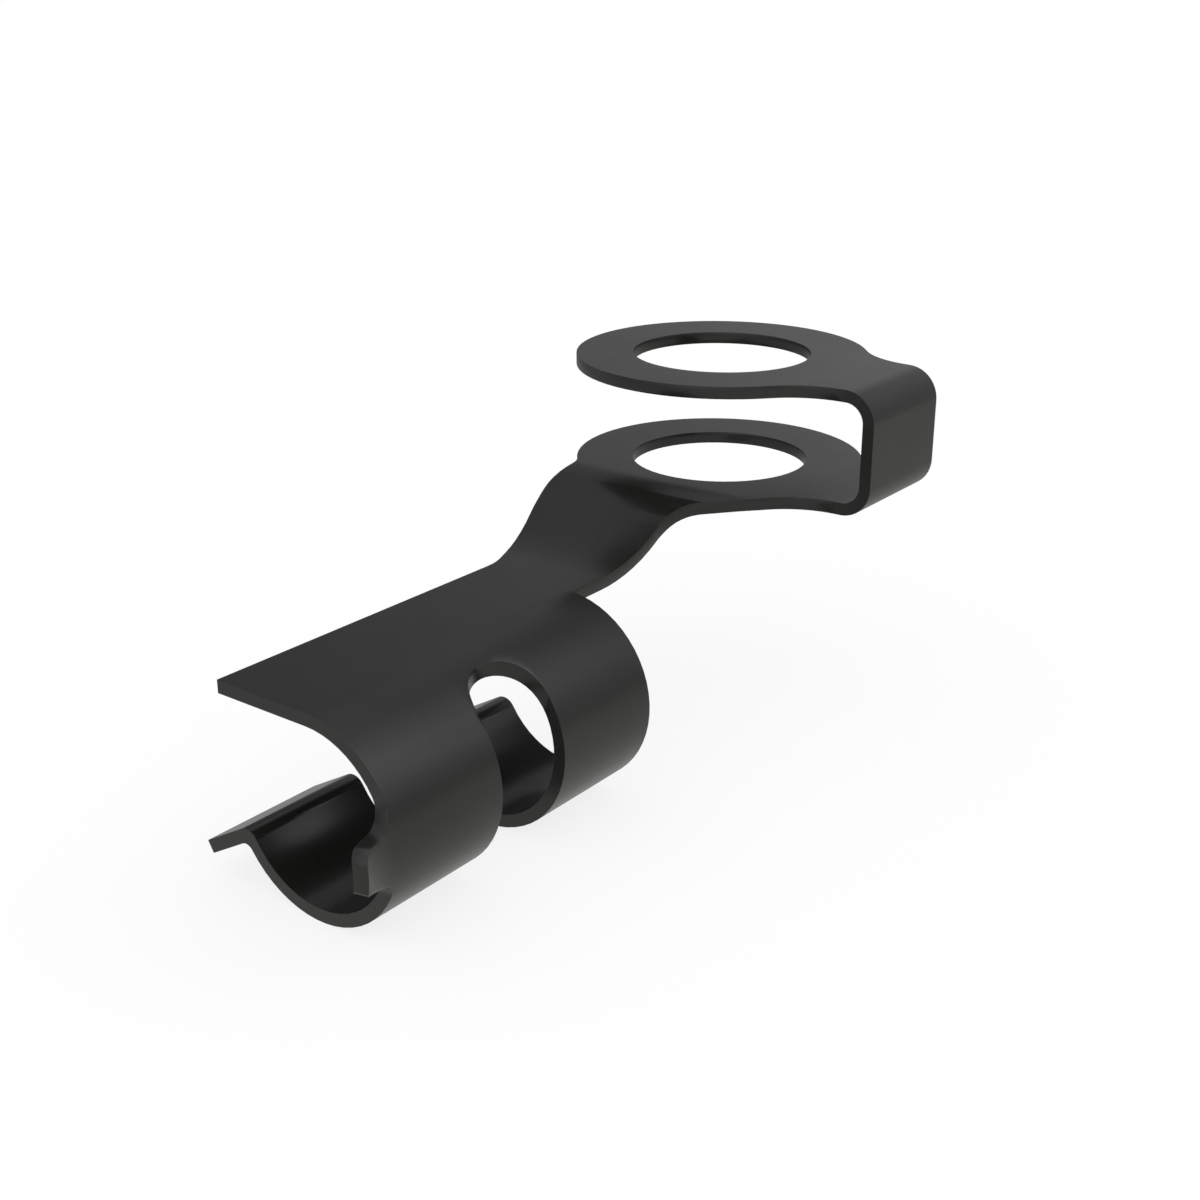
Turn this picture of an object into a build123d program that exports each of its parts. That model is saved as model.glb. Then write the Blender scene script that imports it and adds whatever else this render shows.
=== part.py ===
from build123d import *
from build123d.topology import SkipClean
import math
import os

# Latch rod clip, cut and folded from one strip of spring steel.
#
# Two equal rings lie one above the other and are joined by a strap folded over at
# their side. They turn on a pivot pin. From the lower ring the strip steps down to a
# flat plate, and the plate's long edge curls under it into a trough that snaps onto a
# rod. A slot parts the curl into two fingers, both end in a lip that guides the rod
# in, and a small tab at the near end is flared away from the rod.
#
# Millimetres and degrees. The origin is on the axis of the ring holes, at the
# underside of the lower ring. +X points from it to the folded strap, +Y points along
# the rod from the trough to the rings, and +Z points up along the pivot. The near end
# is the end of the trough on the -Y side, and the far end the one nearer the rings.

# Sheet
SHEET = 0.4

# Rings on the pivot
HOLE_RADIUS = 3.0
RING_RADIUS = 4.93
RING_GAP = 3.27

# Strap between the rings: its outer face's distance from the pivot's axis, its width,
# the inner radius of its two bends, and the radius where it runs into a ring
STRAP_REACH = 7.02
STRAP_WIDTH = 4.22
STRAP_BEND = 0.63
STRAP_NECK = 2.65

# Trough that holds the rod: its axis lies ROD_OFFSET to the +X side of the pivot's, and
# the slot's round tip starts SLOT_TIP further out
ROD_OFFSET = 1.49
TROUGH_RADIUS = 2.65
TROUGH_LENGTH = 10.7
SLOT_WIDTH = 2.65
SLOT_TIP = 1.195

# Plate: the side away from the curl, its step down from the lower ring, and the
# distance of its near end from the pivot's axis
PLATE_SIDE = 1.81
PLATE_DROP = 1.485
NEAR_END = 21.03

# Climb from the plate to the lower ring: how far from the pivot's axis it starts to bend
# down, the radius of that bend on the sheet's upper face, its steepness, and the length
# of the straight stretch before the wider bend that lands on the plate
CLIMB_START = 3.42
CLIMB_HIGH_BEND = 3.9
CLIMB_ANGLE = 30
CLIMB_STRAIGHT = 0.08

# Climbing strip in plan: where its +X side starts at the curl and meets the ring, and how
# far it bows; where its -X side leaves the ring, how far it runs along the rod and by
# what angle it then slants in to the plate's side, with the radii of that slant's two
# corners; and the radii of the necks at the ring
SIDE_AT_CURL = 1.66
SIDE_AT_RING = 1.42
SIDE_BOW = 0.07
SHOULDER_SIDE = 3.52
SHOULDER_LENGTH = 2.18
SLANT_ANGLE = 22.3
SLANT_FOOT_BEND = 2.0
SLANT_TOP_BEND = 4.3
SHOULDER_NECK = 1.0
SIDE_NECK = 1.5

# Lip at the mouth: how far round from its +X side the wall goes, the lip's fall, its
# length from there, and the radii of the crest on its upper and under face
MOUTH_ANGLE = 157.5
LIP_FALL = 30.2
LIP_LENGTH = 2.165
CREST_RADIUS = 0.44
CREST_HOLLOW = 0.28

# Flared tab at the near end: its turn and bend radius, the height of its edges above
# and below the rod's axis, and the radii of its roots and corners
TAB_FLARE = 23.9
TAB_BEND = 3.13
TAB_UP = 0.665
TAB_DOWN_ROOT = 0.91
TAB_DOWN_TIP = 0.435
TAB_ROOT_UP = 0.72
TAB_ROOT_DOWN = 0.6
TAB_CORNER_UP = 0.4
TAB_CORNER_DOWN = 0.1

# Places that follow from the sizes
STACK = 2 * SHEET + RING_GAP
STRAP_FOLD = STRAP_REACH - SHEET - STRAP_BEND
WALL_RADIUS = TROUGH_RADIUS + SHEET
ROD_HEIGHT = -PLATE_DROP - TROUGH_RADIUS
FAR_END = NEAR_END - TROUGH_LENGTH
FINGER_LENGTH = (TROUGH_LENGTH - SLOT_WIDTH) / 2
CLEAR = 2 * WALL_RADIUS
ROD = Pos(ROD_OFFSET, ROD_HEIGHT)


def ring_edge(x):
    """The point of a ring's outer edge at x, on the trough's side, seen from above."""
    return Vector(x, -math.sqrt(RING_RADIUS**2 - x**2))


def ring_with_strap():
    """Outline of a ring with its strap, seen from above."""
    plan = Circle(RING_RADIUS) + Pos(STRAP_REACH / 2, 0) * Rectangle(STRAP_REACH, STRAP_WIDTH)
    return fillet(plan.vertices().group_by(Axis.X)[0], STRAP_NECK)


def strap_and_upper_ring():
    """The fold seen along Y, from its lower bend on, cut to the ring's and strap's outline."""
    reach_in = STRAP_REACH - SHEET
    outside = Pos(0, STACK / 2) * Rectangle(2 * STRAP_REACH, STACK)
    inside = Pos(0, STACK / 2) * Rectangle(2 * reach_in, RING_GAP)
    outside = fillet(outside.vertices().group_by(Axis.X)[-1], STRAP_BEND + SHEET)
    inside = fillet(inside.vertices().group_by(Axis.X)[-1], STRAP_BEND)
    left_side = Pos(-STRAP_REACH, STACK / 2) * Rectangle(2 * SHEET, STACK)
    lower_side = Pos(STRAP_FOLD, 0) * Rectangle(2 * STRAP_REACH, 2 * SHEET, align=(Align.MAX, Align.CENTER))
    section = outside - inside - left_side - lower_side
    fold = extrude(Plane.XZ * section, amount=STRAP_REACH, both=True)
    return fold & extrude(ring_with_strap(), amount=STACK)


def strip_plan():
    """Outline of plate, climbing strip and lower ring up to the strap's fold, from above."""
    side = ring_edge(SIDE_AT_RING)
    shoulder = ring_edge(-SHOULDER_SIDE)
    top = shoulder - Vector(0, SHOULDER_LENGTH)
    slant_width = SHOULDER_SIDE - PLATE_SIDE
    foot = top + Vector(slant_width, -slant_width / math.tan(math.radians(SLANT_ANGLE)))
    curl_end = [(SIDE_AT_CURL, -FAR_END), (ROD_OFFSET, -FAR_END)]
    plate_end = [(ROD_OFFSET, -NEAR_END), (-PLATE_SIDE, -NEAR_END)]
    around = Polyline(*curl_end, *plate_end, foot, top, shoulder, (0, 0), side)
    strip = make_face([around, SagittaArc(side, curl_end[0], SIDE_BOW)])

    past_fold = Pos(STRAP_FOLD, 0) * Rectangle(STRAP_REACH, 2 * RING_RADIUS, align=(Align.MIN, Align.CENTER))
    plan = strip + ring_with_strap() - past_fold
    corners = [(foot, SLANT_FOOT_BEND), (top, SLANT_TOP_BEND), (shoulder, SHOULDER_NECK), (side, SIDE_NECK)]
    for corner, radius in corners:
        plan = fillet(plan.vertices().sort_by_distance(corner)[0], radius)
    return plan


def climb():
    """Plate, climb and lower ring: the sheet seen along X, cut to its outline."""
    angle = math.radians(CLIMB_ANGLE)
    head = -CLIMB_START - CLIMB_HIGH_BEND * math.tan(angle / 2)
    both_bends = (PLATE_DROP / math.sin(angle) - CLIMB_STRAIGHT) / math.tan(angle / 2)
    upper_face = FilletPolyline(
        (-NEAR_END, SHEET - PLATE_DROP),
        (head - PLATE_DROP / math.tan(angle), SHEET - PLATE_DROP),
        (head, SHEET),
        (RING_RADIUS, SHEET),
        radius=[both_bends - CLIMB_HIGH_BEND, CLIMB_HIGH_BEND],
    )
    side = make_face(offset(upper_face, SHEET, side=Side.RIGHT))
    sheet = extrude(Plane.YZ * side, amount=2 * RING_RADIUS, both=True)
    upright = Pos(0, 0, -PLATE_DROP) * extrude(strip_plan(), amount=PLATE_DROP + SHEET)
    return sheet & upright


def wall_section():
    """Round wall and lip seen along Y, about the rod's axis."""
    mouth = math.radians(-MOUTH_ANGLE)
    fall = math.radians(LIP_FALL)
    root = Vector(math.cos(mouth), math.sin(mouth)) * TROUGH_RADIUS
    tip = root + Vector(-math.cos(fall), -math.sin(fall)) * LIP_LENGTH
    across = Vector(math.sin(fall), -math.cos(fall)) * SHEET

    mouth_side = make_face(Polyline((0, 0), (0, CLEAR), (-CLEAR, CLEAR), tip, root, close=True))
    lip = make_face(Polyline(root, tip, tip + across, root + across, close=True))
    section = Circle(WALL_RADIUS) - mouth_side + lip - Circle(TROUGH_RADIUS)
    crest, hollow = section.vertices().sort_by_distance(root)[:2]
    section = fillet(crest, CREST_RADIUS)
    return fillet(section.vertices().sort_by_distance(hollow)[0], CREST_HOLLOW)


def curl(start, length):
    """A stretch of the round wall and lip, from its distance along -Y toward the rings."""
    return extrude(Plane.XZ.offset(start) * ROD * wall_section(), amount=-length)


def spine():
    """What is left of the wall between the fingers, above the slot's round tip."""
    round_end = ROD_OFFSET + SLOT_TIP + SLOT_WIDTH / 2
    middle = -(NEAR_END + FAR_END) / 2
    plan = Pos((ROD_OFFSET + round_end) / 2, middle) * Rectangle(round_end - ROD_OFFSET, SLOT_WIDTH)
    plan -= Pos(round_end, middle) * Circle(SLOT_WIDTH / 2)
    upright = extrude(Pos(0, 0, ROD_HEIGHT) * plan, amount=CLEAR)
    return upright & curl(NEAR_END - FINGER_LENGTH, SLOT_WIDTH)


def tab():
    """The wall's section turned outward about an upright axis, cut to the tab's outline."""
    wall = Circle(WALL_RADIUS) - Circle(TROUGH_RADIUS)
    wall &= Pos(WALL_RADIUS, 0) * Rectangle(2 * WALL_RADIUS, 2 * WALL_RADIUS)
    bend_axis = Axis((ROD_OFFSET + WALL_RADIUS + TAB_BEND, -NEAR_END, 0), (0, 0, 1))
    near = Plane.XZ.offset(NEAR_END)
    flare = revolve(near * ROD * wall, bend_axis, TAB_FLARE)

    upper_root = Vector(0, TAB_UP)
    lower_root = Vector(0, -TAB_DOWN_ROOT)
    lower_tip = Vector(-(TAB_BEND + SHEET) * math.sin(math.radians(TAB_FLARE)), -TAB_DOWN_TIP)
    past_tip = lower_tip + (lower_tip - lower_root) / 2
    outline = make_face(Polyline(upper_root, (past_tip.X, TAB_UP), past_tip, lower_root, close=True))
    outline += Pos(SHEET / 2, 0) * Rectangle(SHEET, 2 * TROUGH_RADIUS)
    for root, radius in ((upper_root, TAB_ROOT_UP), (lower_root, TAB_ROOT_DOWN)):
        outline = fillet(outline.vertices().sort_by_distance(root)[0], radius)
    outline = Plane.YZ * Pos(-NEAR_END, ROD_HEIGHT) * outline
    piece = flare & extrude(outline, amount=2 * CLEAR)

    for end, radius in ((-1, TAB_CORNER_UP), (0, TAB_CORNER_DOWN)):
        tip_face = piece.faces().sort_by(Axis.Y)[0]
        piece = fillet(tip_face.edges().sort_by(Axis.Z)[end], radius)
    return piece


def rod_clip():
    """The whole clip as one folded sheet."""
    pivot_hole = extrude(Circle(HOLE_RADIUS), amount=STACK)
    flat_part = climb() + strap_and_upper_ring() - pivot_hole
    near_finger = curl(NEAR_END, FINGER_LENGTH)
    far_finger = curl(FAR_END + FINGER_LENGTH, FINGER_LENGTH)
    curled_part = [near_finger, spine(), far_finger, tab()]
    # Each finger keeps a gripping face of its own, apart from the spine's
    with SkipClean():
        return flat_part + curled_part


os.makedirs("parts", exist_ok=True)
clip = rod_clip()
clip.label = "rod_clip"
export_step(clip, "parts/rod_clip.step")
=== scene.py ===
import math

import bpy
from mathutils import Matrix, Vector


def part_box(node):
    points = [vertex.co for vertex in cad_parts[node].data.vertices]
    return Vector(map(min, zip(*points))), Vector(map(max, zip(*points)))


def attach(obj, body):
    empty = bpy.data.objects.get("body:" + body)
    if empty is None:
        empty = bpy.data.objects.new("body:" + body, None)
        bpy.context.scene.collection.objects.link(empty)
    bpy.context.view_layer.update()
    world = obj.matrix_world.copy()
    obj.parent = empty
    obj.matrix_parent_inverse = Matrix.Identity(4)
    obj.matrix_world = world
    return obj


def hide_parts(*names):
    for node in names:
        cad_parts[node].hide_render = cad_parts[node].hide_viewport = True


# Looks of the latch rod clip: one strip of spring steel under a satin black coating.
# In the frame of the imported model: the origin on the axis of the ring holes, -Y toward
# the trough, +Z up along the pivot. Lengths in metres, angles in radians.

MM = 0.001

# Cut edges of the sheet: how far the tumbling rounded them, which corners of the packed
# mesh are one point, which faces are one flat and which edges are sharp
EDGE_ROUND = 0.013 * MM
EDGE_STEPS = 2
EDGE_PROFILE = 0.5
EDGE_SLOT = 1
SAME_POINT = 0.004 * MM
FLAT_TURN = math.radians(0.4)
SHARP_TURN = math.radians(24)

# Shading across the bends: how far the larger faces outweigh the smaller, 50 for even
LARGE_FACES = 55

# Coating: its colours, the grain sizes, the rubbed look, the roughness with what varies
# it, and the height of the grain
BLACK = (0.0118, 0.0114, 0.0106)
BLACK_RUBBED = (0.0250, 0.0240, 0.0222)
BLACK_DULL = (0.0092, 0.0089, 0.0084)
COATING_IOR = 1.5
PORES = 0.055 * MM
CLOUDS = 3.2 * MM
ROLLED = 0.5 * MM
ROLLED_STRETCH = (1, 0.06, 1)
RUBBINGS = 0.6 * MM
RUBBED_RANGE = (0.42, 0.62)
RUBBED_SHARE = 0.5
DULL_RANGE = (0.35, 0.65)
NOISE_MIDDLE = 0.5
ROUGH = 0.25
ROUGH_BY_CLOUDS = 0.08
ROUGH_BY_ROLLING = 0.05
ROUGH_BY_RUBBING = 0.03
PORE_SHARE = 0.7
ROLLED_SHARE = 0.3
BUMP_STRENGTH = 0.12
BUMP_HEIGHT = 0.004 * MM

# Camera
CAMERA_PLACE = (30.31 * MM, -46.54 * MM, 16.785 * MM)
CAMERA_DOWN = 0.3745
CAMERA_TURN = 0.6517
CAMERA_LENS = 49.77
CAMERA_SENSOR = 36
NEAREST_SEEN = 1 * MM
FARTHEST_SEEN = 20

# Studio as light: a white floor and sky, and one soft lamp behind the clip on its right
WHITE = (1.0, 1.0, 1.0)
BLACKEST = (0, 0, 0)
FLOOR_SIZE = 6
FLOOR_GLOW = 0.82
SKY_SEEN = 1.0
SKY_LIGHT = 0.98
BOX_SIDE = (0.489, 0.562, 0.667)
BOX_DISTANCE = 0.30
BOX_SIZE = 0.14
BOX_POWER = 0.056

# Studio as the coating mirrors it. A patch is its strength, the degrees it is seen at
# (around from +Y toward +X, then up) and how tightly it is gathered
ROOM_LEVEL = 0.285
ROOM_RISE = -0.580
ROOM_DARKEST = 0.02
PATCHES = (
    (1.32, -1.2, 33.6, 10.1),  # wall behind the clip
    (2.80, 46.1, 55.3, 5.1),  # window high behind it on the right
    (-2.0, 17.7, 42.5, 9.7),  # dark wall between the two
    (-0.59, -9.1, 38.1, 28.5),  # beam across the wall
    (0.29, 41.3, 41.7, 33.5),  # glint under the window
    (0.51, -87.2, 57.1, 5.4),  # wall on the left
    (1.0, 165, 40, 2.5),  # wall in front
)
FLOOR_MIRROR_GLOW = 1.0
FLOOR_LEVEL = 0.420
FLOOR_TO_RIGHT = 0.063
FLOOR_TO_BACK = -0.114
FLOOR_FADE = 20 * MM
FLOOR_MIDDLE = -9 * MM
FLOOR_SPOT = 0.21
FLOOR_SPOT_PLACE = (30 * MM, -1 * MM, 0)
FLOOR_SPOT_REACH = 41 * MM
FLOOR_WARM = (1.0, 0.995, 0.955)


class Socket:
    """One output of a shader's node, so that sums on it are written as sums."""

    def __init__(self, tree, output):
        self.tree = tree
        self.output = output

    def sum(self, operation, first, second):
        node = self.tree.nodes.new("ShaderNodeMath")
        node.operation = operation
        for place, value in zip(node.inputs, (first, second)):
            if isinstance(value, Socket):
                self.tree.links.new(value.output, place)
            else:
                place.default_value = value
        return Socket(self.tree, node.outputs[0])

    def __add__(self, other):
        return self.sum("ADD", self, other)

    def __radd__(self, other):
        return self.sum("ADD", other, self)

    def __sub__(self, other):
        return self.sum("SUBTRACT", self, other)

    def __rsub__(self, other):
        return self.sum("SUBTRACT", other, self)

    def __mul__(self, other):
        return self.sum("MULTIPLY", self, other)

    def __rmul__(self, other):
        return self.sum("MULTIPLY", other, self)

    def __truediv__(self, other):
        return self.sum("DIVIDE", self, other)

    def __rtruediv__(self, other):
        return self.sum("DIVIDE", other, self)

    def __pow__(self, other):
        return self.sum("POWER", self, other)


class Shader:
    """The node tree of a material or of the world, filled one node at a time."""

    def __init__(self, owner):
        owner.use_nodes = True
        self.tree = owner.node_tree
        self.tree.nodes.clear()

    def node(self, kind, settings=(), values=(), output=None):
        """Adds a node: its settings first, then its sockets' values or links."""
        node = self.tree.nodes.new("ShaderNode" + kind)
        for name, value in dict(settings).items():
            setattr(node, name, value)
        for name, value in dict(values).items():
            place = self.named(node.inputs, name)
            if isinstance(value, Socket):
                self.tree.links.new(value.output, place)
            else:
                place.default_value = value
        if node.outputs:
            return Socket(self.tree, self.named(node.outputs, output) if output else node.outputs[0])

    @staticmethod
    def named(sockets, name):
        return next(s for s in sockets if name in (s.identifier, s.name) and s.enabled)


def grain(shader, point, size, detail, roughness=0.5, stretch=(1, 1, 1)):
    """Noise whose grains are about size across, NOISE_MIDDLE on average."""
    placed = shader.node("Mapping", {}, {"Vector": point, "Scale": stretch})
    values = {"Vector": placed, "Scale": 1 / size, "Detail": detail, "Roughness": roughness}
    return shader.node("TexNoise", {"noise_dimensions": "3D"}, values)


def ramp(shader, value, low, high):
    """0 below low and 1 above high, with a smooth step between them."""
    settings = {"interpolation_type": "SMOOTHSTEP"}
    return shader.node("MapRange", settings, {"Value": value, "From Min": low, "From Max": high})


def larger(shader, first, second):
    """The larger of two values."""
    return shader.node("Math", {"operation": "MAXIMUM"}, {"Value": first, "Value_001": second})


def mixed(shader, share, first, second):
    """A colour between two others."""
    first, second = [c if isinstance(c, Socket) else (*c, 1) for c in (first, second)]
    values = {"Factor_Float": share, "A_Color": first, "B_Color": second}
    return shader.node("Mix", {"data_type": "RGBA"}, values, "Result_Color")


def satin_black():
    """Black coating: a fine even grain, faint clouding, and a rubbed look along the edges."""
    material = bpy.data.materials.new("satin_black_coating")
    shader = Shader(material)
    point = shader.node("TexCoord", {}, {}, "Object")
    edge = shader.node("Attribute", {"attribute_name": "edge"}, {}, "Fac")

    pores = grain(shader, point, PORES, detail=2)
    clouds = grain(shader, point, CLOUDS, detail=3)
    rolled = grain(shader, point, ROLLED, detail=3, roughness=0.6, stretch=ROLLED_STRETCH)
    rubbings = grain(shader, point, RUBBINGS, detail=4, roughness=0.6)

    rubbed = edge * ramp(shader, rubbings, *RUBBED_RANGE)
    clouded = mixed(shader, ramp(shader, clouds, *DULL_RANGE), BLACK, BLACK_DULL)
    colour = mixed(shader, rubbed * RUBBED_SHARE, clouded, BLACK_RUBBED)
    by_clouds = (clouds - NOISE_MIDDLE) * ROUGH_BY_CLOUDS
    by_rolling = (rolled - NOISE_MIDDLE) * ROUGH_BY_ROLLING
    roughness = ROUGH + by_clouds + by_rolling - rubbed * ROUGH_BY_RUBBING
    height = pores * PORE_SHARE + rolled * ROLLED_SHARE
    values = {"Strength": BUMP_STRENGTH, "Distance": BUMP_HEIGHT, "Height": height}
    bumped = shader.node("Bump", {}, values)

    values = {
        "Base Color": colour,
        "Roughness": roughness,
        "Normal": bumped,
        "IOR": COATING_IOR,
        "Metallic": 0.0,
    }
    surface = shader.node("BsdfPrincipled", {"distribution": "MULTI_GGX"}, values)
    shader.node("OutputMaterial", {}, {"Surface": surface})
    return material


def clip_sheet(node):
    """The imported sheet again, with its cut edges rounded over in EDGE_SLOT."""
    sheet = bpy.data.objects.new("clip_sheet", node.data.copy())
    bpy.context.scene.collection.objects.link(sheet)
    bpy.ops.object.select_all(action="DESELECT")
    sheet.select_set(True)
    bpy.context.view_layer.objects.active = sheet
    bpy.ops.mesh.customdata_custom_splitnormals_clear()

    bpy.ops.object.mode_set(mode="EDIT")
    bpy.ops.mesh.select_all(action="SELECT")
    bpy.ops.mesh.remove_doubles(threshold=SAME_POINT)
    bpy.ops.mesh.select_all(action="SELECT")
    bpy.ops.mesh.dissolve_limited(angle_limit=FLAT_TURN)
    bpy.ops.mesh.select_mode(type="EDGE")
    bpy.ops.mesh.select_all(action="DESELECT")
    bpy.ops.mesh.edges_select_sharp(sharpness=SHARP_TURN)
    bpy.ops.mesh.bevel(
        offset=EDGE_ROUND,
        segments=EDGE_STEPS,
        profile=EDGE_PROFILE,
        clamp_overlap=False,
        material=EDGE_SLOT,
    )
    bpy.ops.object.mode_set(mode="OBJECT")
    return sheet


def wear_mark(sheet):
    """Marks the rounded edges with 1 and all other faces with 0, and empties the slot."""
    mesh = sheet.data
    mark = mesh.attributes.new("edge", "FLOAT", "FACE")
    for face in mesh.polygons:
        mark.data[face.index].value = face.material_index
        face.material_index = 0


def dress(node, material):
    """Puts the coated sheet, shaded smoothly over its bends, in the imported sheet's place."""
    sheet = clip_sheet(node)
    wear_mark(sheet)
    sheet.data.materials.clear()
    sheet.data.materials.append(material)
    bpy.ops.object.shade_smooth_by_angle(angle=SHARP_TURN)
    weighted = sheet.modifiers.new("face_weight", "WEIGHTED_NORMAL")
    weighted.keep_sharp = True
    weighted.mode = "FACE_AREA_WITH_ANGLE"
    weighted.weight = LARGE_FACES
    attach(sheet, "root")
    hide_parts(node.name)


def mirrored_floor(shader):
    """The floor in the coating: brighter and warmer to the right, darker to the back."""
    point = shader.node("TexCoord", {}, {}, "Object")
    across = shader.node("SeparateXYZ", {}, {"Vector": point}, "X")
    along = shader.node("SeparateXYZ", {}, {"Vector": point}, "Y")
    right = shader.node("Math", {"operation": "TANH"}, {"Value": across / FLOOR_FADE})
    back = shader.node("Math", {"operation": "TANH"}, {"Value": (along - FLOOR_MIDDLE) / FLOOR_FADE})
    values = {"Vector": point, "Vector_001": FLOOR_SPOT_PLACE}
    away = shader.node("VectorMath", {"operation": "DISTANCE"}, values, "Value") / FLOOR_SPOT_REACH
    spot = shader.node("Math", {"operation": "EXPONENT"}, {"Value": 0 - away * away})
    level = FLOOR_LEVEL + right * FLOOR_TO_RIGHT + back * FLOOR_TO_BACK + spot * FLOOR_SPOT
    warmth = right * 0.5 + 0.5
    tint = mixed(shader, warmth, WHITE, FLOOR_WARM)
    return mixed(shader, level, BLACKEST, tint)


def floor(height):
    """A white floor: it glows for the camera and the coating, and keeps a soft shadow."""
    bpy.ops.object.select_all(action="DESELECT")
    bpy.ops.mesh.primitive_plane_add(size=FLOOR_SIZE, location=(0, 0, height))
    plane = bpy.context.object
    plane.name = "floor"
    material = bpy.data.materials.new("white_floor")
    shader = Shader(material)
    seen = shader.node("LightPath", {}, {}, "Is Camera Ray")
    mirrored = shader.node("LightPath", {}, {}, "Is Glossy Ray")
    tone = mixed(shader, mirrored, WHITE, mirrored_floor(shader))
    paper = shader.node("BsdfDiffuse", {}, {"Color": tone})
    glow = shader.node("Emission", {}, {"Color": tone, "Strength": 1.0})
    share = seen * FLOOR_GLOW + mirrored * FLOOR_MIRROR_GLOW
    both = shader.node("MixShader", {}, {"Fac": share, "Shader": paper, "Shader_001": glow})
    shader.node("OutputMaterial", {}, {"Surface": both})
    plane.data.materials.append(material)


def patch(shader, toward, strength, around, up, tightness):
    """Light or shade of the room that fades smoothly around one direction."""
    turn, lift = math.radians(around), math.radians(up)
    aim = (math.cos(lift) * math.sin(turn), math.cos(lift) * math.cos(turn), math.sin(lift))
    values = {"Vector": toward, "Vector_001": aim}
    facing = shader.node("VectorMath", {"operation": "DOT_PRODUCT"}, values, "Value")
    return larger(shader, facing, 0.0) ** tightness * strength


def sky():
    """White where the camera sees it, plain as light, and in patches where it is mirrored."""
    world = bpy.data.worlds.new("studio")
    bpy.context.scene.world = world
    shader = Shader(world)
    seen = shader.node("LightPath", {}, {}, "Is Camera Ray")
    mirrored = shader.node("LightPath", {}, {}, "Is Glossy Ray")
    toward = shader.node("TexCoord", {}, {}, "Generated")
    up = shader.node("SeparateXYZ", {}, {"Vector": toward}, "Z")
    room = ROOM_LEVEL + larger(shader, up, 0.0) * ROOM_RISE
    for place in PATCHES:
        room = room + patch(shader, toward, *place)
    room = larger(shader, room, ROOM_DARKEST)
    strength = SKY_LIGHT + mirrored * (room - SKY_LIGHT) + seen * (SKY_SEEN - SKY_LIGHT)
    light = shader.node("Background", {}, {"Color": (*WHITE, 1), "Strength": strength})
    shader.node("OutputWorld", {}, {"Surface": light})


def softbox(name, place, target, size, power):
    """A square lamp that lights but isn't mirrored, turned toward a point."""
    light = bpy.data.lights.new(name, "AREA")
    light.shape = "SQUARE"
    light.size = size
    light.energy = power
    lamp = bpy.data.objects.new(name, light)
    bpy.context.scene.collection.objects.link(lamp)
    lamp.location = place
    lamp.rotation_euler = (Vector(target) - Vector(place)).to_track_quat("-Z", "Y").to_euler()
    lamp.visible_glossy = False


def camera():
    """The photograph's view: its place, and how far it looks down and is turned."""
    lens = bpy.data.cameras.new("photo_camera")
    lens.lens = CAMERA_LENS
    lens.sensor_width = CAMERA_SENSOR
    lens.clip_start = NEAREST_SEEN
    lens.clip_end = FARTHEST_SEEN
    view = bpy.data.objects.new("photo_camera", lens)
    bpy.context.scene.collection.objects.link(view)
    view.location = CAMERA_PLACE
    view.rotation_euler = (math.pi / 2 - CAMERA_DOWN, 0, CAMERA_TURN)
    bpy.context.scene.camera = view


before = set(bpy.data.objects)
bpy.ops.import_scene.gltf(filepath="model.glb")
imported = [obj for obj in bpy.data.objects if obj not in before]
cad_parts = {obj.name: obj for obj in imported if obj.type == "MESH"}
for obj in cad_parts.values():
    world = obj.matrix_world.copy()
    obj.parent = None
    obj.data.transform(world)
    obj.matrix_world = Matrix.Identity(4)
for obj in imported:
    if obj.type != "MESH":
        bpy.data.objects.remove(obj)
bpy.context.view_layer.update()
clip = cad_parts["rod_clip"]

dress(clip, satin_black())
floor(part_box("rod_clip")[0].z)
sky()
softbox("bright_box", Vector(BOX_SIDE) * BOX_DISTANCE, (0, 0, 0), BOX_SIZE, BOX_POWER)
camera()
bpy.context.scene.view_settings.view_transform = "Standard"
